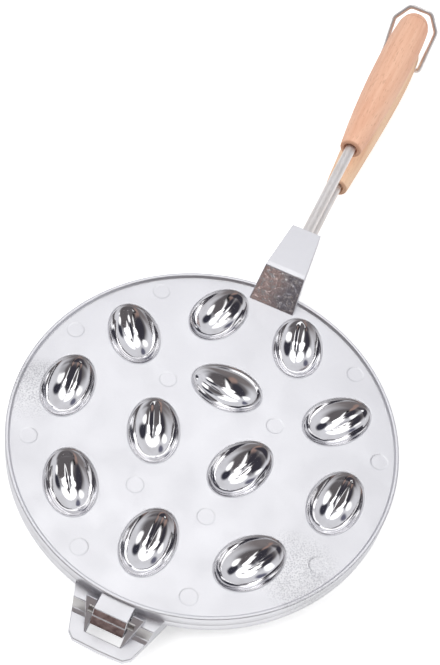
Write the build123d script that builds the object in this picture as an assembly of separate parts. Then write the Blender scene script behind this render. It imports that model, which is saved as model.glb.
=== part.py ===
"""Hinged cast aluminium iron that bakes twelve walnut-shaped half shells.

Frame, in millimetres: the origin lies on the plates' axis at the level of the
surface that the iron rests on, +Y runs to the handles, +X to the right when
looking along +Y, and +Z up. The two plates are closed.
"""
import math
import os

from build123d import *

# Share of a quarter ellipse's radius that its curve's handles take
round_pull = 0.5523

# Plates
plate_r = 99.0
parting_z = 20.0
above_all_z = 50.0
rim_height = 6.5
lip_round = 0.5
rim_chamfer = 1.2
lip_depth = 2.2
lip_width = 1.9
lip_top_z = parting_z + rim_height
floor_z = lip_top_z - lip_depth
lower_rim_z = parting_z - rim_height
lower_floor_z = lower_rim_z + lip_depth

# Nuts: centre x and centre y as shares of the plate's radius, and turn of the long axis, left half
nut_pairs = [
    (0.232, 0.708, -17),
    (0.575, 0.384, 40),
    (0.742, -0.062, 6),
    (0.237, -0.100, 23),
    (0.477, -0.551, 35),
]
nut_singles = [(0, 0.311, 90), (0, -0.672, 0)]
nut_r = 0.1253 * plate_r
nut_blunt = 1.387 * nut_r
nut_point = 1.548 * nut_r
hollow_lift = 0.161 * nut_r
lobe_shift = 0.105 * nut_r
lobe_toe = 2.5
hollow_edge_r = 0.129 * nut_r
floor_slack = 0.01

# What cores, cavities and the cavities' backs add to a hollow all round, and the height of their axes
core_more = 2.1
core_stretch = -0.9
core_z = parting_z + 5.0
cavity_more = 4.3
cavity_stretch = -1.5
cavity_z = parting_z + 1.2
bump_more = 7.2
bump_stretch = -1.6
bump_z = parting_z - 0.8

# Ejector marks: centre x and centre y as shares of the plate's radius, mirrored
mark_pairs = [
    (0.565, 0.704),
    (0.861, 0.267),
    (0.784, -0.407),
    (0.288, -0.835),
    (0.302, 0.216),
    (0.192, -0.414),
]
mark_r = 5.0
mark_depth = 0.25

# Lugs and rods
rod_r = 3.0
upper_rod_z = lip_top_z + 7.2
lower_rod_z = 11.0
lug_end_y = plate_r + 36.6
lug_half_t = 4.8
lug_foot_y = 0.894 * plate_r
lug_ridge_y = plate_r + 4.5
lug_foot_half_w = 0.133 * plate_r
lug_end_half_w = 0.63 * lug_foot_half_w
lower_lug_share = 0.88
lug_root = 5.0
lug_sink = 2.0
lug_droop = 0.4
lug_throat_y = plate_r + 13.0
lug_skin = 0.3
lug_blank_half_w = 15.0
lug_corner_r = 1.6
lug_ridge_r = 2.5
rod_start_y = plate_r + 11.0
rod_in_handle = 38.0

# Handles
# Girths are the radii at the shares of the length up to the shoulder
upper_handle_length = 121.5
upper_handle_y = lug_end_y + 70.4
upper_girths = (8.6, 10.2, 10.9, 10.5)
lower_handle_length = 131.0
lower_handle_y = upper_handle_y - 11.0
lower_girths = (7.9, 9.7, 10.9, 10.5)
girth_shares = (0.2, 0.44, 0.72, 0.88)
handle_mouth_r = 6.4
handle_mouth_edge = 0.8
dome_length = 8.0
shoulder_r = 9.4
dome_r = 9.0
mouth_r = 3.9
mouth_depth = 3.0

# Lock bail
wire_r = 1.4
bail_pivot_y = lower_handle_y + lower_handle_length - 17.5
bail_foot_x = 10.2
bail_rise = 28.9
bail_gap = 0.6
bail_bar_y = upper_handle_y + upper_handle_length + wire_r + bail_gap
bail_reach = math.hypot(bail_bar_y - bail_pivot_y, bail_rise)
bail_foot_half_w = 12.4
bail_shoulder_half_w = 13.8
bail_bar_half_w = 6.8
bail_shoulder_s = bail_reach - 9.9
bail_foot_bend_r = 2.2
bail_bend_r = 4.5
bail_hole_depth = 5.0
bail_end_gap = 0.3
running_gap = 0.05

# Hinge
hinge_y = -plate_r - 5.7
hinge_z = parting_z - 2.0
pin_r = 2.8
pin_half_l = 11.7
hook_half_w = 8.5
hook_root_y = 1.4 - plate_r
hook_bore_r = 3.1
hook_edge_y = hinge_y - 2.6
hook_front_y = hinge_y - 6.6
hook_top_z = lip_top_z - 1.5
hook_bottom_z = 12.6
hook_brow_y = hinge_y - 4.2
hook_brow_z = hinge_z + 3.6
hook_groove = 0.5
hook_front_z = hinge_z - 2.2
hook_heel = 2.4
hook_toe_y = hinge_y + 1.3
window_half_w = 9.0
window_end_y = hinge_y - 9.6
swing_r = 7.3
tab_end_y = hinge_y - 15.7
tab_half_w = 15.5
neck_half_w = 24.0
tab_top_z = 12.0
tab_t = 3.6
tab_root_y = 5.0 - plate_r
tab_flare = 0.8
tab_corner_x = 2.6
tab_corner_y = 3.2
tab_bow = 0.4
step_y = -plate_r - 4.9
step_z = parting_z - 0.8
step_foot = 4.5
step_slope = 2.5
step_hollow = 1.6
claw_half_w = 15.0
claw_r = 4.8
claw_root_y = step_y + 4.0
claw_taper_y = step_y + 1.0
claw_tip_w = 0.6
claw_sink = 2.0


def block(x0, x1, y0, y1, z0, z1):
    """Box between two corners."""
    size = Box(x1 - x0, y1 - y0, z1 - z0)
    return Pos((x0 + x1) / 2, (y0 + y1) / 2, (z0 + z1) / 2) * size


def disc(radius, z0, z1, x=0.0, y=0.0):
    """Upright cylinder between two heights."""
    return Pos(x, y, (z0 + z1) / 2) * Cylinder(radius, z1 - z0)


def bar_x(radius, x0, x1, y, z):
    """Cylinder along X."""
    return Pos((x0 + x1) / 2, y, z) * Rot(0, 90, 0) * Cylinder(radius, x1 - x0)


def bar_y(radius, y0, y1, z):
    """Cylinder along Y on the middle plane."""
    return Pos(0, (y0 + y1) / 2, z) * Rot(90, 0, 0) * Cylinder(radius, y1 - y0)


def side_profile(points, x0, x1):
    """Extrusion along X of a closed outline of (y, z) points."""
    outline = Polyline(*[(y, z) for y, z in points], close=True)
    face = Plane.YZ * make_face(outline)
    return Pos(x0, 0, 0) * extrude(face, amount=x1 - x0, dir=(1, 0, 0))


def plan_profile(points, z0, z1):
    """Extrusion along Z of a closed outline of (x, y) points."""
    face = make_face(Polyline(*points, close=True))
    return Pos(0, 0, z0) * extrude(face, amount=z1 - z0)


def round_end(radius, start, end):
    """Quarter of an ellipse from its widest place at start to the Y axis at end."""
    pull = start + round_pull * (end - start)
    return Bezier((radius, start), (radius, pull), (round_pull * radius, end), (0, end))


def egg(blunt, point, radius):
    """Round egg along Y, its narrower end towards +Y, its widest ring at the origin."""
    front = round_end(radius, 0, point)
    back = round_end(radius, 0, -blunt)
    axis_line = Line((0, -blunt), (0, point))
    profile = make_face([front, back, axis_line])
    return revolve(profile, Axis.Y, 360)


def nests():
    """Places of the twelve nuts as (x, y, turn)."""
    places = list(nut_singles)
    for x, y, turn in nut_pairs:
        places.append((-x, y, turn))
        places.append((x, y, -turn))
    return [(x * plate_r, y * plate_r, turn) for x, y, turn in places]


def larger_nut(more, stretch):
    """A nut that is larger than the hollow by so much all round, and by the stretch at its ends too."""
    return egg(nut_blunt + more + stretch, nut_point + more + stretch, nut_r + more)


def at_nests(solid, height):
    """Copies of a solid at every nut."""
    return [Pos(x, y, height) * Rot(0, 0, turn) * solid for x, y, turn in nests()]


def lug(rod_z, way):
    """Lug that carries a rod, way +1 above the parting plane and -1 below it."""
    near = rod_z - way * lug_half_t
    far = rod_z + way * lug_half_t
    web = floor_z if way > 0 else lower_floor_z
    base = parting_z + way * lug_skin
    share = 1.0 if way > 0 else lower_lug_share
    side = [
        (lug_foot_y - lug_root, web - way * lug_sink),
        (lug_foot_y, web),
        (lug_ridge_y, far),
        (lug_end_y, far - way * lug_droop),
        (lug_end_y, near),
        (lug_throat_y, near),
        (plate_r, base),
        (lug_foot_y - lug_root, base),
    ]
    plan = [
        (-share * lug_foot_half_w, lug_foot_y - lug_root),
        (share * lug_foot_half_w, lug_foot_y - lug_root),
        (share * lug_end_half_w, lug_end_y),
        (-share * lug_end_half_w, lug_end_y),
    ]
    body = side_profile(side, -lug_blank_half_w, lug_blank_half_w) & plan_profile(plan, 0, above_all_z)
    ends = body.edges().filter_by(Axis.Z).sort_by(Axis.Y)[-2:]
    body = fillet(ends, lug_corner_r)
    ridge = body.edges().filter_by(Axis.X).sort_by(lambda e: abs(e.center().Y - lug_ridge_y))[0]
    return fillet(ridge, lug_ridge_r)


def claw(sign):
    """Bracket beside the window that holds one end of the hinge pin."""
    cheek = side_profile(
        [
            (claw_root_y, tab_top_z - claw_sink),
            (claw_root_y, step_z),
            (hinge_y, step_z),
            (hinge_y - claw_r, hinge_z),
            (window_end_y, tab_top_z),
            (window_end_y, tab_top_z - claw_sink),
        ],
        window_half_w,
        claw_half_w,
    )
    cheek += bar_x(claw_r, window_half_w, claw_half_w, hinge_y, hinge_z)
    plan = [
        (window_half_w, claw_root_y),
        (claw_half_w, claw_root_y),
        (claw_half_w, claw_taper_y),
        (window_half_w + claw_tip_w, window_end_y),
        (window_half_w, window_end_y),
    ]
    cheek &= plan_profile(plan, 0, above_all_z)
    return cheek if sign > 0 else mirror(cheek, Plane.YZ)


def tab():
    """Tongue of the lower plate with the step, the window and the two claws."""
    plan = [
        (-neck_half_w, tab_root_y),
        (-tab_half_w - tab_flare, tab_end_y + tab_corner_y),
        (-tab_half_w + tab_corner_x, tab_end_y + tab_bow),
        (0, tab_end_y),
        (tab_half_w - tab_corner_x, tab_end_y + tab_bow),
        (tab_half_w + tab_flare, tab_end_y + tab_corner_y),
        (neck_half_w, tab_root_y),
    ]
    side = [
        (tab_root_y, lower_rim_z),
        (tab_root_y, step_z),
        (step_y, step_z),
        (step_y - step_slope, tab_top_z + step_hollow),
        (step_y - step_foot, tab_top_z),
        (tab_end_y, tab_top_z),
        (tab_end_y, tab_top_z - tab_t),
        (1 - plate_r, tab_top_z - tab_t),
    ]
    body = side_profile(side, -neck_half_w, neck_half_w) & plan_profile(plan, 0, above_all_z)
    return body + claw(1) + claw(-1)


def lower_plate():
    """Plate with the twelve cavities, whose backs are the bumps that it stands on."""
    body = disc(plate_r, lower_rim_z, parting_z)
    rim_edge = body.edges().filter_by(GeomType.CIRCLE).sort_by(Axis.Z)[0]
    body = chamfer(rim_edge, rim_chamfer)
    body -= disc(plate_r - lip_width - rim_chamfer, 0, lower_floor_z)
    body += at_nests(larger_nut(bump_more, bump_stretch), bump_z)
    body &= disc(plate_r, 0, parting_z)
    body += lug(lower_rod_z, -1)
    body += tab()
    body -= at_nests(larger_nut(cavity_more, cavity_stretch), cavity_z)
    body -= block(-window_half_w, window_half_w, window_end_y, hinge_y, 0, above_all_z)
    body -= bar_x(swing_r, -window_half_w, window_half_w, hinge_y, hinge_z)
    body -= bar_x(pin_r, -pin_half_l, pin_half_l, hinge_y, hinge_z)
    body -= bar_y(rod_r, rod_start_y, upper_handle_y, lower_rod_z)
    return body


def hook():
    """Tongue of the upper plate that wraps the hinge pin."""
    side = [
        (hook_root_y, hook_top_z),
        (hook_edge_y, hook_top_z),
        (hook_brow_y, hook_brow_z),
        (hook_brow_y - hook_groove, hook_brow_z - hook_groove),
        (hook_front_y, hook_front_z),
        (hook_front_y + hook_heel, hook_bottom_z),
        (hook_toe_y, hook_bottom_z),
        (hook_toe_y, parting_z),
        (hook_root_y, parting_z),
    ]
    body = side_profile(side, -hook_half_w, hook_half_w)
    return body - bar_x(hook_bore_r, -hook_half_w, hook_half_w, hinge_y, hinge_z)


def hollow_tool():
    """Space of one hollow: two lobes that part at the narrow end."""
    lobe = egg(nut_blunt, nut_point, nut_r)
    heel = nut_blunt / 2
    tool = None
    for side in (-1, 1):
        turned = Pos(side * lobe_shift / 2, -heel, 0) * Rot(0, 0, -side * lobe_toe) * Pos(0, heel, 0) * lobe
        tool = turned if tool is None else tool + turned
    return tool


def upper_plate():
    """Plate with the twelve cores below and their polished hollows above."""
    body = disc(plate_r, parting_z, lip_top_z)
    lip_edge = body.edges().filter_by(GeomType.CIRCLE).sort_by(Axis.Z)[-1]
    body = fillet(lip_edge, lip_round)
    body -= disc(plate_r - lip_width, floor_z, above_all_z)
    lid = disc(plate_r, floor_z - lip_depth / 2, above_all_z)
    body += [core - lid for core in at_nests(larger_nut(core_more, core_stretch), core_z)]
    body += lug(upper_rod_z, 1)
    body += hook()
    body -= at_nests(hollow_tool(), floor_z + hollow_lift)
    edges = [
        e
        for e in body.edges()
        if abs(e.center().Z - floor_z) < floor_slack and e.bounding_box().size.Z < floor_slack and near_hollow(e)
    ]
    body = fillet(edges, hollow_edge_r)
    for x, y in mark_pairs:
        for side in (-x, x):
            body -= disc(mark_r, floor_z - mark_depth, floor_z + mark_depth, side * plate_r, y * plate_r)
    body -= bar_y(rod_r, rod_start_y, upper_handle_y, upper_rod_z)
    return body


def near_hollow(edge):
    """Whether an edge of the floor belongs to a hollow."""
    middle = edge.position_at(0.5)
    reach = nut_point + lobe_shift
    return any(math.hypot(middle.X - x, middle.Y - y) < reach for x, y, turn in nests())


def handle(length, girths):
    """Turned handle along Y from its bored end at the origin."""
    shoulder = length - dome_length
    belly = [(radius, share * shoulder) for radius, share in zip(girths, girth_shares)]
    mouth_in = (handle_mouth_r - handle_mouth_edge, 0)
    mouth_out = (handle_mouth_r, handle_mouth_edge)
    profile = make_face(
        [
            Line((0, 0), mouth_in),
            Line(mouth_in, mouth_out),
            Spline(mouth_out, *belly, (shoulder_r, shoulder)),
            Line((shoulder_r, shoulder), (dome_r, shoulder)),
            round_end(dome_r, shoulder, length),
            Line((0, length), (0, 0)),
        ]
    )
    body = revolve(profile, Axis.Y, 360)
    body -= bar_y(rod_r, -mouth_depth, rod_in_handle, 0)
    return body - bar_y(mouth_r, -mouth_depth, mouth_depth, 0)


def upper_handle():
    """Handle of the upper plate."""
    return Pos(0, upper_handle_y, upper_rod_z) * handle(upper_handle_length, upper_girths)


def lower_handle():
    """Handle of the lower plate with the two holes for the bail."""
    body = Pos(0, lower_handle_y, lower_rod_z) * handle(lower_handle_length, lower_girths)
    hole = bail_foot_x - bail_hole_depth
    outside = bail_shoulder_half_w
    for x0, x1 in ((-outside, -hole), (hole, outside)):
        body -= bar_x(wire_r + running_gap, x0, x1, bail_pivot_y, lower_rod_z)
    return body


def bail():
    """Wire loop that hooks over the upper handle, here swung just past its tip."""
    lean = math.atan2(bail_rise, bail_bar_y - bail_pivot_y)
    tip = bail_foot_x - bail_hole_depth + bail_end_gap
    loop = [
        (-tip, 0),
        (-bail_foot_half_w, 0),
        (-bail_shoulder_half_w, bail_shoulder_s),
        (-bail_bar_half_w, bail_reach),
        (bail_bar_half_w, bail_reach),
        (bail_shoulder_half_w, bail_shoulder_s),
        (bail_foot_half_w, 0),
        (tip, 0),
    ]
    bends = [bail_foot_bend_r] + 4 * [bail_bend_r] + [bail_foot_bend_r]
    path = FilletPolyline(*loop, radius=bends)
    section = Plane(origin=path @ 0, z_dir=path % 0) * Circle(wire_r)
    wire = sweep(section, path)
    return Pos(0, bail_pivot_y, lower_rod_z) * Rot(math.degrees(lean), 0, 0) * wire


def build():
    """Every node by name."""
    return {
        "lower_plate": lower_plate(),
        "upper_plate": upper_plate(),
        "hinge_pin": bar_x(pin_r, -pin_half_l, pin_half_l, hinge_y, hinge_z),
        "lower_rod": bar_y(rod_r, rod_start_y, lower_handle_y + rod_in_handle, lower_rod_z),
        "upper_rod": bar_y(rod_r, rod_start_y, upper_handle_y + rod_in_handle, upper_rod_z),
        "lower_handle": lower_handle(),
        "upper_handle": upper_handle(),
        "lock_bail": bail(),
    }


os.makedirs("parts", exist_ok=True)
for name, solid in build().items():
    solid.label = name
    export_step(solid, f"parts/{name}.step")
    print(name, len(solid.solids()), "solid", round(solid.volume / 1000, 2), "cm3", solid.is_valid)
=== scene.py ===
"""Looks of a hinged aluminium iron that bakes walnut-shaped half shells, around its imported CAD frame."""
import math

import bmesh
import bpy
from mathutils import Matrix, Vector, noise


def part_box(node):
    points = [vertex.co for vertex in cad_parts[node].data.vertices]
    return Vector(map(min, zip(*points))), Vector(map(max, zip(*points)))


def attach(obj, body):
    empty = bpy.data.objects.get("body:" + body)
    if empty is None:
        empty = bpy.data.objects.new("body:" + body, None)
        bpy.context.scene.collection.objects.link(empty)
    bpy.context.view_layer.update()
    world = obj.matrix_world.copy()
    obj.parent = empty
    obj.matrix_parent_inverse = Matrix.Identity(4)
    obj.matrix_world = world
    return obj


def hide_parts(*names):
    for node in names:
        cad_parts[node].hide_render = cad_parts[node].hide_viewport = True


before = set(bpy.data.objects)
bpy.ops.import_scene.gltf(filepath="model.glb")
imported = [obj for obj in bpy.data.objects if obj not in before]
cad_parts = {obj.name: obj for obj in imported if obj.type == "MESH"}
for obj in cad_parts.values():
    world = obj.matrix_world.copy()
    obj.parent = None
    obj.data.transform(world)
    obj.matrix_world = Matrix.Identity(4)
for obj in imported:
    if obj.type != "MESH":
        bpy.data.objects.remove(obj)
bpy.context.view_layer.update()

# Lower casting
# Sand-cast aluminium plate with twelve walnut cavities above and their round backs below.
# Its tab carries the window, the step and the two claws of the hinge, and its lug the lower rod.
mm = 0.001


def feed(tree, socket, value):
    """Links an input to another node's output, or gives it a plain value."""
    if isinstance(value, bpy.types.NodeSocket):
        tree.links.new(value, socket)
    else:
        socket.default_value = value


def add(tree, kind, settings=None, *sockets, **named):
    """Adds a shader node, with its settings, its first inputs in order and others by name."""
    made = tree.nodes.new("ShaderNode" + kind)
    for key, value in (settings or {}).items():
        setattr(made, key, value)
    given = dict(enumerate(sockets))
    given.update({key.replace("_", " "): value for key, value in named.items()})
    for key, value in given.items():
        feed(tree, made.inputs[key], value)
    return made


def maths(tree, operation, *values, clamp=False):
    """Result of a Math node."""
    return add(tree, "Math", {"operation": operation, "use_clamp": clamp}, *values).outputs[0]


def grain(tree, place, scale, detail, roughness=0.5):
    """Noise with that many waves a metre."""
    made = add(tree, "TexNoise", None, place, Scale=scale, Detail=detail, Roughness=roughness)
    return made.outputs["Fac"]


def rgba(colour):
    """Opaque colour from three values, or from one for a grey; a socket stays as it is."""
    if isinstance(colour, bpy.types.NodeSocket):
        return colour
    return (*colour, 1) if hasattr(colour, "__len__") else (colour, colour, colour, 1)


def ramp(tree, factor, *stops):
    """Colour ramp through (position, colour) stops."""
    made = add(tree, "ValToRGB", None, factor)
    elements = made.color_ramp.elements
    while len(elements) < len(stops):
        elements.new(0.5)
    for element, (position, colour) in zip(elements, stops):
        element.position = position
        element.color = rgba(colour)
    return made.outputs["Color"]


def mix(tree, share, first, second):
    """Mix of two colours, which the node holds at inputs 6 and 7."""
    made = add(tree, "Mix", {"data_type": "RGBA"}, share)
    feed(tree, made.inputs[6], rgba(first))
    feed(tree, made.inputs[7], rgba(second))
    return made.outputs[2]


def bump(tree, height, strength, distance):
    """Normal from a height pattern."""
    return add(tree, "Bump", None, Strength=strength, Distance=distance, Height=height).outputs[0]


def new_material(name):
    """Material with one Principled shader, and where it sits in object space."""
    material = bpy.data.materials.new(name)
    material.use_nodes = True
    tree = material.node_tree
    tree.nodes.clear()
    shader = add(tree, "BsdfPrincipled")
    add(tree, "OutputMaterial", Surface=shader.outputs[0])
    place = add(tree, "TexCoord").outputs["Object"]
    return material, tree, shader, place


def surface(tree, shader, colour, roughness, normal=None, metallic=1.0):
    """Gives a shader its colour, roughness and normal; it is metal unless it is told otherwise."""
    feed(tree, shader.inputs["Base Color"], rgba(colour))
    tree.links.new(roughness, shader.inputs["Roughness"])
    shader.inputs["Metallic"].default_value = metallic
    if normal:
        tree.links.new(normal, shader.inputs["Normal"])


# Satin casting: lavender-grey, with sand-rough patches near the rim, each a place and how fast it fades
sand_patches = [
    ((-86 * mm, -12 * mm, 24 * mm), 26.0),
    ((72 * mm, -48 * mm, 24 * mm), 22.0),
]
satin, tree, shader, place = new_material("satin_casting")
patch_wave = grain(tree, place, 38.0, 3.0)
fine_grain = grain(tree, place, 1500.0, 2.0)
cloud = grain(tree, place, 60.0, 4.0)
speckle = add(tree, "TexVoronoi", None, place, Scale=1150.0).outputs["Distance"]
patch_masks = []
for patch_at, fading in sand_patches:
    away = add(tree, "VectorMath", {"operation": "DISTANCE"}, place, patch_at).outputs["Value"]
    rough_edge = maths(tree, "ADD", maths(tree, "MULTIPLY", away, fading), patch_wave)
    patch_masks.append(ramp(tree, rough_edge, (0.75, 1.0), (1.0, 0.0)))
patches = maths(tree, "MAXIMUM", *patch_masks)
even_tone = ramp(tree, cloud, (0.3, (0.77, 0.77, 0.80)), (0.7, (0.84, 0.84, 0.87)))
speck_tone = ramp(tree, speckle, (0.15, (0.55, 0.55, 0.58)), (0.65, (0.82, 0.82, 0.84)))
tone = mix(tree, patches, even_tone, speck_tone)
roughness = ramp(tree, cloud, (0.3, 0.36), (0.7, 0.46))
grain_height = maths(tree, "MULTIPLY_ADD", maths(tree, "MULTIPLY", patches, speckle), 3.0, fine_grain)
surface(tree, shader, tone, roughness, bump(tree, grain_height, 0.35, 0.06 * mm))

# Baked surface of the cavities and cores: the same metal, a little darker from use
baked, tree, shader, place = new_material("baked_casting")
stain = grain(tree, place, 90.0, 5.0)
tone = ramp(tree, stain, (0.3, (0.50, 0.49, 0.48)), (0.7, (0.70, 0.69, 0.69)))
surface(tree, shader, tone, ramp(tree, stain, (0.3, 0.42), (0.7, 0.3)))
lower_finishes = [satin, baked]


def ring_of(bm, edges, finish_index=0):
    """Extrudes a loop of edges in place and returns the new loop; the faces between them shade smooth."""
    made = bmesh.ops.extrude_edge_only(bm, edges=edges)["geom"]
    loop = [part for part in made if isinstance(part, bmesh.types.BMEdge)]
    for edge in loop:
        edge.link_faces[0].material_index = finish_index
        edge.link_faces[0].smooth = True
    return loop


def loop_verts(edges):
    """Vertices of a loop of edges."""
    return {vert for edge in edges for vert in edge.verts}


def new_mesh(name, bm):
    """Mesh from a bmesh, which is freed."""
    mesh = bpy.data.meshes.new(name)
    bm.to_mesh(mesh)
    bm.free()
    return mesh


def join(bm, part, place):
    """Adds a bmesh to another one at a place."""
    part.transform(place)
    holder = new_mesh("holder", part)
    bm.from_mesh(holder)
    bpy.data.meshes.remove(holder)


# Nuts: centre as shares of the plate's radius and turn of the long axis in degrees; pairs are mirrored
plate_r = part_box("upper_plate")[1].x
nest_pairs = [
    (0.232, 0.708, -17),
    (0.575, 0.384, 40),
    (0.742, -0.062, 6),
    (0.237, -0.100, 23),
    (0.477, -0.551, 35),
]
nests = [(0, 0.311, 90), (0, -0.672, 0)]
for x, y, turn in nest_pairs:
    nests += [(-x, y, turn), (x, y, -turn)]


def nest_place(x, y, turn):
    """Matrix of a nut's place."""
    return Matrix.Translation((x * plate_r, y * plate_r, 0)) @ Matrix.Rotation(math.radians(turn), 4, "Z")


def egg_reach(angle, blunt, point, half_w):
    """Distance from the centre of an egg to its outline; the narrower end is towards +Y."""
    length = point if math.sin(angle) > 0 else blunt
    return 1 / math.hypot(math.cos(angle) / half_w, math.sin(angle) / length)


nest_segments = 96
guard_width = 0.25 * mm
shoulder_steps = 7
satin_steps = 5
relief_fade = 5
least_share = 1e-4
merge_gap = 0.05 * mm


def nut_cup(shape, level, centre_z, rings, round_r, relief, finish_index, wall_slope=80):
    """Half egg that sinks below a level, with a round shoulder down to a wall of that slope in degrees.

    Its first loop is a guard round it, and the first steps of its shoulder keep the plate's satin."""
    half_w = shape[2]
    slope = math.radians(wall_slope)
    start = math.asin((centre_z - level + round_r * (1 - math.cos(slope))) / half_w)
    shoulder_w = round_r * math.sin(slope)
    shoulder = [(shoulder_w + guard_width, level)]
    for step in range(shoulder_steps):
        turn = slope * step / shoulder_steps
        shoulder.append((shoulder_w - round_r * math.sin(turn), level - round_r * (1 - math.cos(turn))))
    bm = bmesh.new()
    bmesh.ops.create_circle(bm, segments=nest_segments, radius=1)
    edges = list(bm.edges)
    for index, (spread, height) in enumerate(shoulder):
        if index:
            edges = ring_of(bm, edges, finish_index if index > satin_steps else 0)
        for vert in loop_verts(edges):
            angle = math.atan2(vert.co.y, vert.co.x)
            reach = egg_reach(angle, *shape) * math.cos(start) + spread
            vert.co = (reach * math.cos(angle), reach * math.sin(angle), height)
    for step in range(rings + 1):
        tilt = start + (math.pi / 2 - start) * step / rings
        fade = min(1.0, relief_fade * (tilt - start))
        edges = ring_of(bm, edges, finish_index)
        for vert in loop_verts(edges):
            angle = math.atan2(vert.co.y, vert.co.x)
            reach = egg_reach(angle, *shape) * max(math.cos(tilt), least_share)
            x, y = reach * math.cos(angle), reach * math.sin(angle)
            vert.co = (x, y, centre_z - half_w * math.sin(tilt) + fade * relief(x, y))
    bmesh.ops.remove_doubles(bm, verts=list(loop_verts(edges)), dist=merge_gap)
    return bm


def shell_relief(seed, height):
    """Walnut shell pattern: wavy grooves along the nut with pits between them, and a seam down the middle.

    Its waves are counted per mm, and each form has its share of the height."""

    def relief(x, y):
        across, along = x / mm, y / mm
        wander = noise.noise(Vector((across * 0.09, along * 0.09, seed)))
        grooves = abs(noise.noise(Vector((across * 0.26 + wander * 1.4, along * 0.11, seed + 7))))
        pits = abs(noise.noise(Vector((across * 0.3, along * 0.3, seed + 13))))
        seam = math.exp(-((across / 1.1) ** 2))
        return height * (0.9 * grooves + 0.45 * pits + 0.55 * seam - 0.35)

    return relief


def plate_face(bm, cup, rim_edges, marks=()):
    """Joins a cup at every nest to a plate and fills the flat round them up to the rim's loop."""
    before = set(bm.edges)
    for number, place in enumerate(nests):
        join(bm, cup(number), nest_place(*place))
    for mark, place in marks:
        join(bm, mark, place)
    loops = [edge for edge in bm.edges if edge not in before and edge.is_boundary]
    filled = bmesh.ops.triangle_fill(bm, edges=rim_edges + loops, use_beauty=True, use_dissolve=False)
    for part in filled["geom"]:
        if isinstance(part, bmesh.types.BMFace):
            part.smooth = False


plate_segments = 192


def rim(bm, profile):
    """Turned rim through (radius, height) points; returns its first and last loop."""
    bmesh.ops.create_circle(bm, segments=plate_segments, radius=profile[0][0])
    edges = list(bm.edges)
    first = edges
    for index, (radius, height) in enumerate(profile):
        if index:
            edges = ring_of(bm, edges)
        for vert in loop_verts(edges):
            flat = Vector((vert.co.x, vert.co.y)).normalized() * radius
            vert.co = (flat.x, flat.y, height)
    return first, edges


# The plate stands on the cavities' backs; under its lip the points are (inset, rise)
parting_z = 20 * mm
rim_height = 6.5 * mm
lip_depth = 2.2 * mm
lower_rim_z = parting_z - rim_height
lower_floor_z = lower_rim_z + lip_depth
land_width = 2.4 * mm
seam_round = 0.35 * mm
seam_cut = 0.3 * seam_round
rim_round = 1.2 * mm
rim_cut = 0.35 * mm
under_lip = [(2.1 * mm, 0.0), (2.4 * mm, 0.4 * mm), (2.6 * mm, lip_depth)]
lower_skin = bmesh.new()
inner_edge, outer_edge = rim(
    lower_skin,
    [
        (plate_r - land_width, parting_z),
        (plate_r - seam_round, parting_z),
        (plate_r - seam_cut, parting_z - seam_cut),
        (plate_r, parting_z - seam_round),
        (plate_r, lower_rim_z + rim_round),
        (plate_r - rim_cut, lower_rim_z + rim_cut),
        (plate_r - rim_round, lower_rim_z),
    ]
    + [(plate_r - inset, lower_rim_z + rise) for inset, rise in under_lip],
)
cavity_shape = (20.0 * mm, 22.0 * mm, 16.7 * mm)
cavity_centre_z = 21.2 * mm
cavity_rings = 26
cavity_round = 0.3 * mm
cavity_relief = 0.5 * mm
cavity_seed = 3.7
back_shape = (22.3 * mm, 24.1 * mm, 19.2 * mm)
back_centre_z = 19.2 * mm
back_rings = 22
back_round = 0.9 * mm
back_gap = 0.1 * mm
back_limit_r = plate_r - 2.75 * mm


def cavity(number):
    """One cavity, rough like a shell."""
    relief = shell_relief(number * cavity_seed, cavity_relief)
    finish_index = lower_finishes.index(baked)
    return nut_cup(cavity_shape, parting_z, cavity_centre_z, cavity_rings, cavity_round, relief, finish_index)


def cavity_back(number):
    """The back of one cavity, flat on the hob and cut off at the rim and halfway to its neighbours."""
    cup = nut_cup(back_shape, lower_floor_z, back_centre_z, back_rings, back_round, lambda x, y: 0, 0)
    place = nest_place(*nests[number])
    middle = place.translation
    for vert in cup.verts:
        at = place @ vert.co
        for other in nests:
            between = nest_place(*other).translation - middle
            if between.length > 0:
                excess = (at - middle).dot(between.normalized()) - between.length / 2 + back_gap
                at -= max(0.0, excess) * between.normalized()
        inward = min(1.0, back_limit_r / math.hypot(at.x, at.y))
        vert.co = place.inverted() @ Vector((at.x * inward, at.y * inward, max(at.z, 0.0)))
    return cup


plate_face(lower_skin, cavity, inner_edge)
plate_face(lower_skin, cavity_back, outer_edge)

# Edges that turn by more than this many radians are rounded; front faces lean further to -Y than the slope
sharp_angle = 0.35
front_slope = -0.85


def edge_bevel(bm, offset, segments):
    """Rounds the sharp edges; only the new faces shade smooth, so flats stay flat."""
    sharp = [edge for edge in bm.edges if edge.is_manifold and edge.calc_face_angle() > sharp_angle]
    made = bmesh.ops.bevel(
        bm, geom=sharp, offset=offset, segments=segments, profile=0.5, affect="EDGES", material=-1
    )
    for face in made["faces"]:
        face.smooth = True


def block(bm, outline, half_w, bevel, taper=None, segments=3, front_index=0):
    """Casting block from a side outline of (y, z) points, extruded across, tapered in plan and bevelled.

    Its front faces, which look to -Y and a little up, may have a finish of their own."""
    part = bmesh.new()
    face = part.faces.new([part.verts.new((-half_w, y, z)) for y, z in outline])
    made = bmesh.ops.extrude_face_region(part, geom=[face])["geom"]
    moved = [item for item in made if isinstance(item, bmesh.types.BMVert)]
    bmesh.ops.translate(part, verts=moved, vec=(2 * half_w, 0, 0))
    if taper:
        for vert in part.verts:
            vert.co.x *= taper(vert.co.y)
    edge_bevel(part, bevel, segments)
    bmesh.ops.recalc_face_normals(part, faces=part.faces)
    for face in part.faces:
        if face.normal.y < front_slope and face.normal.z > 0:
            face.material_index = front_index
    join(bm, part, Matrix.Identity(4))


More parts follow.
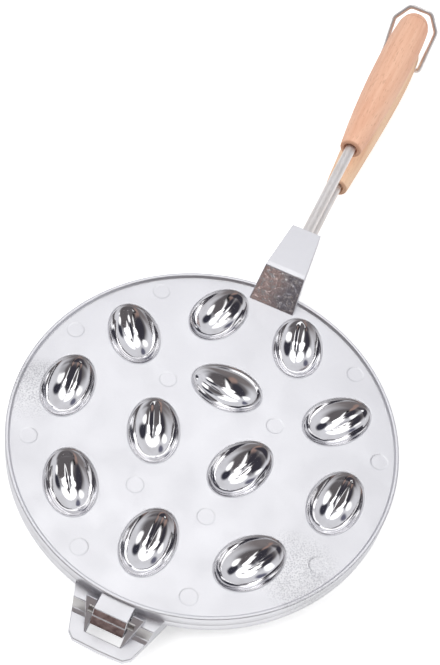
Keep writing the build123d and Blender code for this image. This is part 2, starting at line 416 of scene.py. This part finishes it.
def mirrored(bm, part):
    """Adds a part and its mirror image across the middle plane."""
    twin = part.copy()
    for vert in twin.verts:
        vert.co.x = -vert.co.x
    bmesh.ops.recalc_face_normals(twin, faces=twin.faces)
    join(bm, part, Matrix.Identity(4))
    join(bm, twin, Matrix.Identity(4))


def line(start, end, value):
    """Value at a place between (place, value) start and end."""
    share = (value - start[0]) / (end[0] - start[0])
    return start[1] + share * (end[1] - start[1])


def middle_of(node):
    """Middle of a CAD node's box."""
    low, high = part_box(node)
    return (low + high) / 2


lug_end_y = 135.6 * mm
lug_foot_y = 0.894 * plate_r
lug_ridge_y = 103.5 * mm
lug_throat_y = 112 * mm
lug_foot_half_w = 13.2 * mm
lug_end_half_w = 8.3 * mm
lower_lug_share = 0.88
lug_half_t = 4.8 * mm
lug_root = 5 * mm
lug_sink = 2 * mm
lug_skin = 0.3 * mm
lug_droop = 0.4 * mm
lug_edge_round = 0.35 * mm
facet_w = 2.6 * mm
facet_drop = 0.3 * mm


def lug_taper(y):
    """Share of the lug's half width at its foot."""
    return line((lug_foot_y - lug_root, 1.0), (lug_end_y, lug_end_half_w / lug_foot_half_w), y)


def lug(bm, floor, rod_z, side, share):
    """Lug that runs from a plate's outer face to its rod; side is 1 on the upper half and -1 on the lower."""
    outline = [
        (lug_foot_y - lug_root, floor - side * lug_sink),
        (lug_foot_y, floor),
        (lug_ridge_y, rod_z + side * (lug_half_t - facet_drop)),
        (lug_ridge_y + facet_w, rod_z + side * lug_half_t),
        (lug_end_y, rod_z + side * (lug_half_t - lug_droop)),
        (lug_end_y, rod_z - side * lug_half_t),
        (lug_throat_y, rod_z - side * lug_half_t),
        (plate_r, parting_z + side * lug_skin),
        (lug_foot_y - lug_root, parting_z + side * lug_skin),
    ]
    block(bm, outline, share * lug_foot_half_w, lug_edge_round, lug_taper)


lug(lower_skin, lower_floor_z, middle_of("lower_rod").z, -1, lower_lug_share)

# The tab's deck is one plate with the window let in, then the step's two wings and the claws stand on it
hinge_y = middle_of("hinge_pin").y
hinge_z = middle_of("hinge_pin").z
tab_root_y = -94 * mm
tab_end_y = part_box("lower_plate")[0].y
tab_corner_y = tab_end_y + 3.2 * mm
tab_bow = 0.4 * mm
neck_half_w = 24 * mm
tab_corner_half_w = 16.3 * mm
tab_end_half_w = 12.9 * mm
tab_top_z = 12 * mm
tab_t = 3.6 * mm
tab_round = 0.45 * mm
window_half_w = 9 * mm
window_start_y = hinge_y + 6 * mm
window_end_y = hinge_y - 9.6 * mm


def tab_reach(y):
    """Half the tab's width at a place along it."""
    return line((tab_root_y, neck_half_w), (tab_corner_y, tab_corner_half_w), y)


deck = bmesh.new()
deck_outline = [
    (neck_half_w, tab_root_y),
    (tab_corner_half_w, tab_corner_y),
    (tab_end_half_w, tab_end_y + tab_bow),
    (0, tab_end_y),
]
corners = deck_outline + [(-x, y) for x, y in reversed(deck_outline[:-1])]
window = [
    (window_half_w, window_start_y),
    (window_half_w, window_end_y),
    (-window_half_w, window_end_y),
    (-window_half_w, window_start_y),
]
for points in (corners, window):
    verts = [deck.verts.new((x, y, tab_top_z)) for x, y in points]
    for first, second in zip(verts, verts[1:] + verts[:1]):
        deck.edges.new((first, second))
bmesh.ops.triangle_fill(deck, edges=list(deck.edges), use_beauty=True, use_dissolve=True)
made = bmesh.ops.extrude_face_region(deck, geom=list(deck.faces))["geom"]
lowered = [part for part in made if isinstance(part, bmesh.types.BMVert)]
bmesh.ops.translate(deck, verts=lowered, vec=(0, 0, -tab_t))
bmesh.ops.recalc_face_normals(deck, faces=deck.faces)
edge_bevel(deck, tab_round, 3)
join(lower_skin, deck, Matrix.Identity(4))

# The step's wings slope down to the deck, with a steep dark face; their slope is (run, height over the deck)
step_y = -103.9 * mm
step_z = parting_z - 0.8 * mm
wing_root_y = tab_root_y + 4 * mm
wing_slope = [(2.5 * mm, 1.6 * mm), (4.5 * mm, -0.1 * mm)]
wing_low_z = tab_top_z - tab_t + 0.6 * mm
wing_inset = 0.2 * mm
wing_round = 0.4 * mm
wing_side = [(wing_root_y, lower_rim_z), (wing_root_y, step_z), (step_y, step_z)]
wing_side += [(step_y - run, tab_top_z + height) for run, height in wing_slope]
wing_side.append((step_y, wing_low_z))
wing = bmesh.new()
block(wing, wing_side, 1.0, wing_round, front_index=lower_finishes.index(baked))
for vert in wing.verts:
    outer = tab_reach(vert.co.y)
    vert.co.x = outer - wing_inset if vert.co.x > 0 else window_half_w
mirrored(lower_skin, wing)

# The claws taper to a point at the window's corners
claw_half_w = 15 * mm
claw_root_y = step_y + 4 * mm
claw_taper_y = step_y - 0.5 * mm
claw_tip_w = 0.6 * mm
claw_tip_z = tab_top_z + 0.5 * mm
claw_nose_y = hinge_y + 2.6 * mm
claw_nose_z = 23 * mm
claw_root_z = claw_nose_z - 1.4 * mm
claw_low_z = tab_top_z - 1 * mm
claw_round = 0.4 * mm
claw_side = [
    (claw_root_y, claw_low_z),
    (claw_root_y, claw_root_z),
    (claw_nose_y, claw_nose_z),
    (window_end_y, claw_tip_z),
    (window_end_y, claw_low_z),
]


def claw_outer(y):
    """Where a claw's outer side is: it runs in to the window's corner."""
    tapered = line((claw_taper_y, claw_half_w), (window_end_y, window_half_w + claw_tip_w), y)
    return min(claw_half_w, tapered)


claw = bmesh.new()
block(claw, claw_side, (claw_half_w - window_half_w) / 2, claw_round)
for vert in claw.verts:
    side_share = vert.co.x / (claw_half_w - window_half_w) + 0.5
    vert.co.x = window_half_w + side_share * (claw_outer(vert.co.y) - window_half_w)
mirrored(lower_skin, claw)


def new_object(name, data):
    """Object in the scene that holds a mesh, lamp or camera."""
    made = bpy.data.objects.new(name, data)
    bpy.context.scene.collection.objects.link(made)
    return made


def stand_for(name, bm, body, materials, node):
    """Makes the scene's piece from a bmesh, in place of its CAD node."""
    piece = new_object(name, new_mesh(name, bm))
    for material in materials:
        piece.data.materials.append(material)
    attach(piece, body)
    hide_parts(node)
    return piece


stand_for("lower_casting", lower_skin, "lower_half", lower_finishes, "lower_plate")

# Hinge pin
# Turned steel pin, pressed into the claws, that the upper plate's hook turns on.
pin_steel, tree, shader, place = new_material("pin_steel")
turning = add(tree, "TexWave", {"bands_direction": "X"}, place, Scale=900.0, Distortion=1.5).outputs["Fac"]
surface(tree, shader, (0.42, 0.41, 0.40), ramp(tree, turning, (0.2, 0.28), (0.8, 0.42)))


def dress(node, material):
    """Gives a CAD node its material."""
    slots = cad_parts[node].data.materials
    slots.clear()
    slots.append(material)


dress("hinge_pin", pin_steel)

# Upper casting
# Aluminium plate with twelve cores below; their backs are polished hollows, each with a crease
# that starts at the nut's pointed end. A ramped lug holds the upper rod and a hook the hinge pin.

# Polished hollows: bright metal with faint tarnish
polished, tree, shader, place = new_material("polished_hollow")
film = grain(tree, place, 120.0, 3.0)
tone = ramp(tree, film, (0.3, (0.80, 0.79, 0.80)), (0.65, (0.93, 0.93, 0.95)))
surface(tree, shader, tone, ramp(tree, film, (0.3, 0.10), (0.7, 0.05)))

# Sand skin of the ramp: brown oxide on the left and slate on the right, with bright high spots
sand_skin, tree, shader, place = new_material("sand_skin")
drift = grain(tree, place, 95.0, 2.0)
sideways = add(tree, "SeparateXYZ", None, place).outputs["X"]
split = maths(tree, "MULTIPLY_ADD", sideways, 60.0, drift)
oxide = ramp(tree, split, (0.3, (0.92, 0.74, 0.70)), (0.7, (0.46, 0.44, 0.48)))
grit = grain(tree, place, 460.0, 4.0, 0.65)
tone = mix(tree, ramp(tree, grit, (0.52, 0.0), (0.62, 1.0)), oxide, (0.95, 0.92, 0.92))
roughness = ramp(tree, grit, (0.4, 0.5), (0.65, 0.28))
surface(tree, shader, tone, roughness, bump(tree, grit, 1.0, 0.3 * mm))

# The hook's front is painted dark brown: a painted reflection, with a mottle over it
reflected_brown_front, tree, shader, place = new_material("reflected_brown_front")
front_mottle = grain(tree, place, 320.0, 4.0)
tone = ramp(tree, front_mottle, (0.3, (0.13, 0.085, 0.08)), (0.7, (0.27, 0.20, 0.19)))
surface(tree, shader, tone, ramp(tree, front_mottle, (0.3, 0.5), (0.7, 0.34)))
upper_finishes = [satin, polished, baked, sand_skin, reflected_brown_front]

lip_top_z = parting_z + rim_height
lip_width = 1.9 * mm
lip_round = 0.5 * mm
lip_foot = 0.9 * mm
floor_z = lip_top_z - 1.7 * mm
foot_turns = [math.radians(15 * step) for step in range(7)]
upper_skin = bmesh.new()
low_edge, floor_edge = rim(
    upper_skin,
    [
        (plate_r - land_width, parting_z),
        (plate_r - seam_round, parting_z),
        (plate_r - seam_cut, parting_z + seam_cut),
        (plate_r, parting_z + seam_round),
        (plate_r, lip_top_z - lip_round),
        (plate_r - 0.15 * lip_round, lip_top_z - 0.4 * lip_round),
        (plate_r - 0.4 * lip_round, lip_top_z - 0.15 * lip_round),
        (plate_r - lip_round, lip_top_z),
        (plate_r - lip_width + lip_round, lip_top_z),
        (plate_r - lip_width + 0.4 * lip_round, lip_top_z - 0.15 * lip_round),
        (plate_r - lip_width + 0.1 * lip_round, lip_top_z - 0.6 * lip_round),
    ]
    + [
        (plate_r - lip_width - lip_foot * (1 - math.cos(turn)), floor_z + lip_foot * (1 - math.sin(turn)))
        for turn in foot_turns
    ],
)
hollow_shape = (19.0 * mm, 21.0 * mm, 13.6 * mm)
hollow_round = 1.8 * mm
hollow_centre_z = floor_z + 4.9 * mm
hollow_wall_slope = 62
hollow_rings = 34
hollow_seed = 5.3
crease_height = 1.45 * mm
crease_width = 4.2 * mm
crease_share = 0.62
crease_run = 15 * mm
flute_depth = 0.12 * mm
flute_count = 11
flute_run = 8 * mm
least_width = 0.05
core_shape = (18.4 * mm, 20.4 * mm, 14.5 * mm)
core_centre_z = 25.0 * mm
core_rings = 24
core_relief = 0.4 * mm
core_seed = 2.9


def hollow_relief(seed):
    """Crease from the pointed end to past the middle, and flutes beside it that run to the pointed end."""

    def relief(x, y):
        rise = min(1.0, max(0.0, crease_share + y / crease_run))
        crease = crease_height * rise * math.exp(-abs(x) / crease_width)
        length = hollow_shape[1] if y > 0 else hollow_shape[0]
        width = hollow_shape[2] * math.sqrt(max(least_width, 1 - (y / length) ** 2))
        wander = noise.noise(Vector((x / mm * 0.06, y / mm * 0.03, seed)))
        flutes = flute_depth * math.cos(flute_count * x / width + 2.2 * wander + seed)
        return crease + flutes * min(1.0, max(0.0, y / flute_run))

    return relief


def hollow(number):
    """One polished hollow."""
    relief = hollow_relief(number * hollow_seed)
    sizes = (hollow_shape, floor_z, hollow_centre_z, hollow_rings, hollow_round)
    return nut_cup(*sizes, relief, upper_finishes.index(polished), hollow_wall_slope)


def core(number):
    """One core, rough like the inside of a shell."""
    relief = shell_relief(number * core_seed, core_relief)
    sizes = (core_shape, parting_z, core_centre_z, core_rings, cavity_round)
    return nut_cup(*sizes, relief, upper_finishes.index(baked))


# Ejector marks: shallow round dents in the floor, as shares of the plate's radius, mirrored.
# Their profile is (inset in mm, share of the depth).
mark_pairs = [
    (0.565, 0.704),
    (0.861, 0.267),
    (0.784, -0.407),
    (0.288, -0.835),
    (0.302, 0.216),
    (0.192, -0.414),
]
mark_r = 4.6 * mm
mark_guard = 0.3 * mm
mark_depth = 0.12 * mm
mark_segments = 64
mark_profile = [(0.0, 0.02), (0.35, 0.85), (0.7, 1.0), (1.4, 0.9)]


def ejector_mark():
    """Shallow round dent with a soft shoulder."""
    bm = bmesh.new()
    bmesh.ops.create_circle(bm, segments=mark_segments, radius=mark_r + mark_guard)
    bmesh.ops.translate(bm, verts=bm.verts, vec=(0, 0, floor_z))
    edges = list(bm.edges)
    for inset, depth in mark_profile:
        radius = mark_r - inset * mm
        edges = ring_of(bm, edges)
        for vert in loop_verts(edges):
            flat = Vector((vert.co.x, vert.co.y)).normalized() * radius
            vert.co = (flat.x, flat.y, floor_z - depth * mark_depth)
    bmesh.ops.contextual_create(bm, geom=edges)
    for face in bm.faces:
        face.smooth = True
    return bm


marks = []
for x, y in mark_pairs:
    for side in (-x, x):
        marks.append((ejector_mark(), Matrix.Translation((side * plate_r, y * plate_r, 0))))
plate_face(upper_skin, core, low_edge)
plate_face(upper_skin, hollow, floor_edge, marks)

upper_rod_z = middle_of("upper_rod").z
lug(upper_skin, floor_z, upper_rod_z, 1, 1.0)

# The ramp's face was left as it came from the sand: pitted, with shiny high spots
ramp_inset = 0.2 * mm
ramp_margin = 0.4 * mm
ramp_lift = 0.03 * mm
pit_depth = 0.5 * mm
pit_scale = 520
pit_level = 0.35
side_fade = 9
end_fade = 12
ramp_top_z = upper_rod_z + lug_half_t - facet_drop
ramp_foot = Vector((0, lug_foot_y + ramp_inset, floor_z + ramp_inset))
ramp_head = Vector((0, lug_ridge_y - ramp_margin, ramp_top_z - ramp_margin))
ramp_out = Vector((0, ramp_foot.z - ramp_head.z, ramp_head.y - ramp_foot.y)).normalized()
ramp_skin = bmesh.new()
bmesh.ops.create_grid(ramp_skin, x_segments=90, y_segments=72, size=1)
for vert in ramp_skin.verts:
    across, along = vert.co.x, (vert.co.y + 1) / 2
    spot = ramp_foot.lerp(ramp_head, along)
    spot.x = across * (lug_foot_half_w * lug_taper(spot.y) - ramp_margin)
    coarse = noise.fractal(spot * pit_scale, 1.0, 2.1, 4)
    fade = min(1.0, side_fade * (1 - abs(across)), end_fade * along, end_fade * (1 - along))
    vert.co = spot + ramp_out * (ramp_lift + pit_depth * fade * max(0.0, pit_level + coarse))
for face in ramp_skin.faces:
    face.smooth = True
    face.material_index = upper_finishes.index(sand_skin)
join(upper_skin, ramp_skin, Matrix.Identity(4))

# The hook, set out from the pin: over the step, down its front, painted brown as a painted reflection, under
# the pin, and up into the bore through the slot that opens below
hook_half_w = 8.5 * mm
hook_top_z = lip_top_z - 1.5 * mm
hook_root_y = 1.4 * mm - plate_r
hook_low_z = 12.6 * mm
hook_slot_y = hinge_y + 1.3 * mm
hook_bore_r = 3.1 * mm
hook_round = 0.25 * mm
bore_start = -65
bore_sweep = 230
bore_steps = 8
hook_side = [
    (hook_root_y, parting_z),
    (hook_root_y, hook_top_z),
    (hinge_y - 2.6 * mm, hook_top_z),
    (hinge_y - 4.2 * mm, hinge_z + 3.6 * mm),
    (hinge_y - 4.7 * mm, hinge_z + 3.1 * mm),
    (hinge_y - 6.6 * mm, hinge_z - 2.2 * mm),
    (hinge_y - 4.2 * mm, hook_low_z),
    (hook_slot_y, hook_low_z),
    (hook_slot_y, hinge_z - 2.8 * mm),
]
for step in range(bore_steps + 1):
    swing = math.radians(bore_start - bore_sweep * step / bore_steps)
    hook_side.append((hinge_y + hook_bore_r * math.cos(swing), hinge_z + hook_bore_r * math.sin(swing)))
hook_side.append((hinge_y + 3.4 * mm, parting_z + 0.1 * mm))
# The hook's front faces take the brown of the painted reflection
reflected_brown_index = upper_finishes.index(reflected_brown_front)
block(upper_skin, hook_side, hook_half_w, hook_round, segments=2, front_index=reflected_brown_index)
stand_for("upper_casting", upper_skin, "upper_half", upper_finishes, "upper_plate")

# Rods
# Round steel bar, drawn and tumbled, cast into the lugs and driven into the handles.
drawn_rod, tree, shader, place = new_material("drawn_rod")
stretched = add(tree, "Mapping", None, Vector=place, Scale=(1.0, 0.02, 1.0)).outputs[0]
draw_lines = grain(tree, stretched, 1400.0, 3.0)
tone = ramp(tree, grain(tree, place, 110.0, 2.0), (0.35, (0.90, 0.86, 0.83)), (0.7, (0.95, 0.93, 0.92)))
roughness = ramp(tree, draw_lines, (0.3, 0.50), (0.7, 0.62))
surface(tree, shader, tone, roughness, bump(tree, draw_lines, 0.25, 0.05 * mm))
dress("lower_rod", drawn_rod)
dress("upper_rod", drawn_rod)

# Handles
# Turned beech with a domed tip behind a shallow cut, bored at the near end for the rod.
# The upper one is steamed pink, the lower one is left yellow.
ray_shade = (0.62, 0.55, 0.50)
# One brown serves both the real end grain and the painted shade
grain_and_shade_brown = (0.40, 0.20, 0.12)
mouth_dark_reach = 1.2 * mm
# How far the painted shade reaches on either side of the cut
cut_shade_reach = 0.8 * mm


def beech(name, light, dark, mouth_y, cut_y):
    """Oiled beech with streaks and rays along the handle, brown end grain with painted shade at the mouth,
    and painted shade along the cut.
    """
    material, tree, shader, place = new_material(name)
    along = add(tree, "Mapping", None, Vector=place, Scale=(1.0, 0.045, 1.0)).outputs[0]
    streaks = grain(tree, along, 330.0, 5.0, 0.6)
    tone = ramp(tree, streaks, (0.32, dark), (0.62, light))
    short = add(tree, "Mapping", None, Vector=place, Scale=(1.0, 0.16, 1.0)).outputs[0]
    rays = ramp(tree, grain(tree, short, 1500.0, 1.0), (0.60, 0.0), (0.72, 0.38))
    tone = mix(tree, rays, tone, [shade * part for shade, part in zip(ray_shade, dark)])
    reach = add(tree, "SeparateXYZ", None, place).outputs["Y"]
    # The mouth darkens to brown: real end grain, with painted shade of the bore over it
    mouth_share = maths(tree, "DIVIDE", maths(tree, "SUBTRACT", reach, mouth_y), mouth_dark_reach)
    end_grain_and_shade = ramp(tree, mouth_share, (0.2, 0.7), (1.0, 0.0))
    # The brown band on either side of the cut is painted shade of the groove
    cut_gap = maths(tree, "ABSOLUTE", maths(tree, "SUBTRACT", reach, cut_y))
    cut_shade_band = ramp(tree, maths(tree, "DIVIDE", cut_gap, cut_shade_reach), (0.2, 0.5), (1.0, 0.0))
    tone = mix(tree, maths(tree, "MAXIMUM", end_grain_and_shade, cut_shade_band), tone, grain_and_shade_brown)
    roughness = ramp(tree, streaks, (0.3, 0.62), (0.7, 0.48))
    relief = maths(tree, "MULTIPLY_ADD", rays, -0.6, streaks)
    surface(tree, shader, tone, roughness, bump(tree, relief, 0.35, 0.12 * mm), metallic=0.0)
    return material


# The turner's profile in mm, as (radius, reach): the bored mouth, the neck, the belly's girths at shares
# of the length up to the shoulder, the collar before the shoulder, and the dome
handle_segments = 48
mouth = [(3.05, 3.4), (3.85, 3.2), (3.9, 2.6), (3.95, 0.5), (4.2, 0.05), (5.5, 0.0), (6.1, 0.25), (6.4, 0.9)]
neck_r = 6.75
neck_share = 0.035
girth_shares = (0.2, 0.44, 0.72, 0.88)
collar = [(9.75, 3.0), (9.45, 0.35), (9.3, 0.1), (8.95, 0.0)]
dome_r = 9.0
dome_length = 8.0
dome_steps = 7
hand_play = 0.008
hand_wave = 22


def turned_handle(name, girths, light, dark, body):
    """Handle turned on a lathe: rings of a profile from the bore over the belly to the dome's tip."""
    low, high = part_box(name)
    length = (high.y - low.y) / mm
    shoulder = length - dome_length
    profile = mouth + [(neck_r, neck_share * shoulder)]
    profile += [(girth, share * shoulder) for girth, share in zip(girths, girth_shares)]
    profile += [(radius, shoulder - back) for radius, back in collar]
    for step in range(1, dome_steps):
        turn = math.pi / 2 * step / dome_steps
        profile.append((dome_r * math.cos(turn), shoulder + dome_length * math.sin(turn)))
    bm = bmesh.new()
    upright = Matrix.Rotation(math.pi / 2, 4, "X")
    bmesh.ops.create_circle(bm, segments=handle_segments, radius=1, matrix=upright)
    edges = list(bm.edges)
    for index, (radius, reach) in enumerate(profile):
        if index:
            edges = ring_of(bm, edges)
        for vert in loop_verts(edges):
            turn = math.atan2(vert.co.z, vert.co.x)
            hand = 1 + hand_play * noise.noise(Vector((math.cos(turn), math.sin(turn), reach / hand_wave)))
            vert.co = (radius * hand * math.cos(turn), reach, radius * hand * math.sin(turn))
    tip = loop_verts(ring_of(bm, edges))
    for vert in tip:
        vert.co = (0, length, 0)
    bmesh.ops.remove_doubles(bm, verts=list(tip), dist=0.01)
    bmesh.ops.recalc_face_normals(bm, faces=bm.faces)
    bmesh.ops.scale(bm, verts=bm.verts, vec=(mm, mm, mm))
    bmesh.ops.translate(bm, verts=bm.verts, vec=(0, low.y, (low.z + high.z) / 2))
    wood = beech(name + "_beech", light, dark, low.y, low.y + shoulder * mm)
    piece = stand_for(name + "_turned", bm, body, [wood], name)
    smooth = piece.modifiers.new("smooth", "SUBSURF")
    smooth.levels = 2
    smooth.render_levels = 2


yellow_beech = ((0.82, 0.58, 0.40), (0.74, 0.47, 0.31))
pink_beech = ((0.78, 0.47, 0.33), (0.68, 0.36, 0.24))
turned_handle("lower_handle", (7.9, 9.7, 10.9, 10.5), *yellow_beech, "lower_half")
turned_handle("upper_handle", (8.6, 10.2, 10.9, 10.5), *pink_beech, "upper_half")

# Lock bail
# Spring steel wire, bent in one piece; its two feet turn in holes of the lower handle.
bail_wire, tree, shader, place = new_material("bail_wire")
wire_cloud = grain(tree, place, 260.0, 3.0)
tone = ramp(tree, wire_cloud, (0.35, (0.84, 0.80, 0.78)), (0.65, (0.94, 0.92, 0.91)))
surface(tree, shader, tone, ramp(tree, wire_cloud, (0.3, 0.52), (0.7, 0.38)))
dress("lock_bail", bail_wire)

# Studio
# White sweep under soft light, and a room round it that only the metal mirrors: bright boxes
# beyond the handles, dark gaps beside them, and a dim brown side behind the camera.
floor_r = 4.0
floor_white = (0.9, 0.9, 0.9, 1)
floor_lift = 0.42
floor_bm = bmesh.new()
bmesh.ops.create_circle(floor_bm, segments=64, radius=floor_r, cap_ends=True)
studio_floor = new_object("studio_floor", new_mesh("studio_floor", floor_bm))
sweep, tree, shader, place = new_material("white_sweep")
shader.inputs["Base Color"].default_value = floor_white
shader.inputs["Roughness"].default_value = 0.9
shader.inputs["Emission Color"].default_value = (1, 1, 1, 1)
seen = add(tree, "LightPath").outputs["Is Camera Ray"]
tree.links.new(maths(tree, "MULTIPLY", seen, floor_lift), shader.inputs["Emission Strength"])
studio_floor.data.materials.append(sweep)

ambient = 0.62
world = bpy.data.worlds.new("white_room")
bpy.context.scene.world = world
world.use_nodes = True
tree = world.node_tree
tree.nodes.clear()
paths = add(tree, "LightPath").outputs
shown = maths(tree, "ADD", paths["Is Camera Ray"], paths["Is Glossy Ray"])
shown = maths(tree, "ADD", shown, paths["Is Transmission Ray"], clamp=True)
level = maths(tree, "MULTIPLY_ADD", shown, 1.0 - ambient, ambient)
back = add(tree, "Background", None, Strength=level, Color=(1, 1, 1, 1))
add(tree, "OutputWorld", Surface=back.outputs[0])

lamp_aim = Vector((0, 0.05, 0))
lamp_size = 0.9


def soft_lamp(name, at, power):
    """Square soft lamp that the metal doesn't mirror."""
    lamp = bpy.data.lights.new(name, "AREA")
    lamp.size = lamp_size
    lamp.energy = power
    holder = new_object(name, lamp)
    holder.location = at
    holder.rotation_euler = (lamp_aim - Vector(at)).to_track_quat("-Z", "Y").to_euler()
    holder.visible_glossy = False


soft_lamp("key_lamp", (-0.7, -0.5, 1.2), 12)
soft_lamp("fill_lamp", (0.9, 0.4, 1.0), 6)

# The mirrored room's patches, each laid over those before it: azimuth, elevation, half width and half
# height in degrees, colour, and softness. Azimuth 0 is beyond the handles and 90 is on the right.
room_r = 3.0
room_pale = (0.70, 0.70, 0.73)
dim_side = (180, 20, 66, 24, (0.20, 0.18, 0.18), 0.3)
low_haze = (180, 5, 70, 8, (0.46, 0.46, 0.48), 0.3)
dark_ceiling = (180, 72, 52, 34, (0.125, 0.115, 0.12), 0.2)
warm_patch = (-174, 44, 9, 13, (0.34, 0.24, 0.21), 0.4)
black_patch = (166, 58, 7, 8, (0.02, 0.02, 0.022), 0.4)
left_gap = (-118, 64, 28, 15, (0.045, 0.043, 0.055), 0.3)
right_gap = (45, 50, 14, 17, (0.04, 0.04, 0.055), 0.3)
blue_gap = (-50, 31, 7, 13, (0.14, 0.14, 0.19), 0.4)
top_strip = (160, 86, 4.5, 27, 1.3, 0.3)
right_box = (80, 51, 11, 10, 1.4, 0.25)
left_box = (-75, 41, 8, 14, 1.3, 0.25)
top_box = (-20, 83, 12, 6, 2.8, 0.3)
far_box = (-18, 63, 18, 13, 1.6, 0.2)
dark_patches = [dim_side, low_haze, dark_ceiling, warm_patch, black_patch, left_gap, right_gap, blue_gap]
bright_patches = [top_strip, right_box, left_box, top_box, far_box]

room_bm = bmesh.new()
bmesh.ops.create_icosphere(room_bm, subdivisions=4, radius=room_r)
mirrored_room = new_object("mirrored_room", new_mesh("mirrored_room", room_bm))
room_wall = bpy.data.materials.new("room_wall")
room_wall.use_nodes = True
room_wall.cycles.emission_sampling = "NONE"
tree = room_wall.node_tree
tree.nodes.clear()
place = add(tree, "TexCoord").outputs["Object"]
outward = add(tree, "VectorMath", {"operation": "NORMALIZE"}, place).outputs[0]


def room_patch(under, azimuth, elevation, half_w, half_h, colour, edge):
    """Soft oval on the room's wall, over the tone under it."""
    swing, rise = math.radians(azimuth), math.radians(elevation)
    across = Vector((math.cos(swing), -math.sin(swing), 0)) / math.sin(math.radians(half_w))
    upward = Vector((-math.sin(swing) * math.sin(rise), -math.cos(swing) * math.sin(rise), math.cos(rise)))
    upward /= math.sin(math.radians(half_h))
    share_x = add(tree, "VectorMath", {"operation": "DOT_PRODUCT"}, outward, across).outputs["Value"]
    share_y = add(tree, "VectorMath", {"operation": "DOT_PRODUCT"}, outward, upward).outputs["Value"]
    both = add(tree, "CombineXYZ", None, share_x, share_y).outputs[0]
    reach = add(tree, "VectorMath", {"operation": "LENGTH"}, both).outputs["Value"]
    limits = {"From_Min": 1 - edge, "From_Max": 1 + edge, "To_Min": 1.0, "To_Max": 0.0}
    mask = add(tree, "MapRange", {"interpolation_type": "SMOOTHSTEP"}, reach, **limits).outputs[0]
    return mix(tree, mask, under, colour)


room_tone = room_pale
for patch in dark_patches + bright_patches:
    room_tone = room_patch(room_tone, *patch)
glow = add(tree, "Emission", None, room_tone, Strength=1.0)
add(tree, "OutputMaterial", Surface=glow.outputs[0])
mirrored_room.data.materials.append(room_wall)
mirrored_room.visible_camera = False
mirrored_room.visible_diffuse = False
mirrored_room.visible_shadow = False
mirrored_room.visible_transmission = False

# Camera at the photograph's place
camera_at = Vector((81.7, -350.2, 644.3)) * mm
camera_aim = Vector((-17.4, 59.2, 26.5)) * mm
camera_roll = math.radians(11.958)
photo_height_px = 665
focal_px = 1425
camera_data = bpy.data.cameras.new("camera")
camera = new_object("camera", camera_data)
camera_data.sensor_width = 36
camera_data.lens = focal_px * camera_data.sensor_width / photo_height_px
camera_data.clip_start = 0.01
forward = (camera_aim - camera_at).normalized()
right = forward.cross(Vector((0, 0, 1))).normalized()
up = right.cross(forward)
rolled_right = math.cos(camera_roll) * right + math.sin(camera_roll) * up
rolled_up = -math.sin(camera_roll) * right + math.cos(camera_roll) * up
turn = Matrix((rolled_right, rolled_up, -forward)).transposed()
camera.matrix_world = Matrix.Translation(camera_at) @ turn.to_4x4()
bpy.context.scene.camera = camera
bpy.context.scene.view_settings.view_transform = "Standard"
